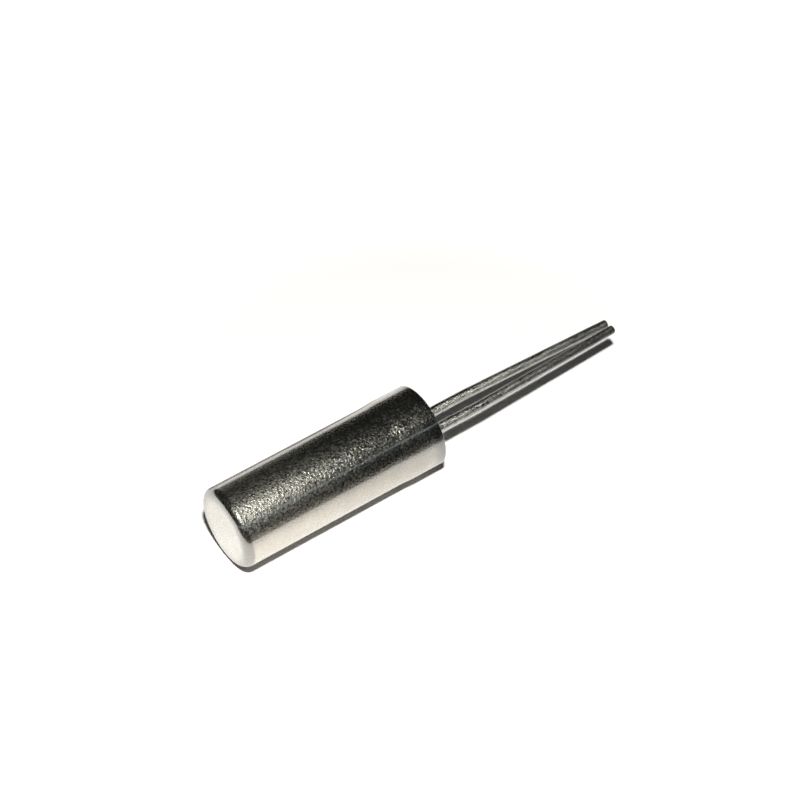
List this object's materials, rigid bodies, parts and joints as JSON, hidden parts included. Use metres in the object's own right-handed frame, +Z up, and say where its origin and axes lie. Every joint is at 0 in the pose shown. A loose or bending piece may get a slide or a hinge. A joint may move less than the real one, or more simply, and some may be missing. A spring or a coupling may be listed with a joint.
{
  "type": "crystal oscillator",
  "caption": "Small cylindrical metal can with a rounded closed end and tinned wire leads out of a glass seal; a quartz tuning fork sits inside.",
  "frame": {"origin": "middle of the outline's base, on the surface that the can lies on", "axes": "+X along the can's axis from its closed end to the leads' tips, +Z up, so the can lies on its side"},
  "size_m": [0.0166, 0.003, 0.0031],
  "materials": {
    "can_nickel": "satin nickel plating with a fine grain",
    "ring_plating": "dull tin plating",
    "seal_glass": "dark sealing glass",
    "tinned_wire": "hot-dipped tin, uneven along the wire",
    "quartz": "clear quartz",
    "gold_film": "bright evaporated gold",
    "solder": "dull solder"
  },
  "bodies": {
    "root": {"can": "can_nickel", "header_ring": "ring_plating", "glass_seal": "seal_glass", "lead_left": "tinned_wire", "lead_right": "tinned_wire", "tuning_fork": "quartz", "electrode_left": "gold_film", "electrode_right": "gold_film", "tine_weight_left": "gold_film", "tine_weight_right": "gold_film", "solder_joint_left": "solder", "solder_joint_right": "solder"}
  },
  "joints": []
}
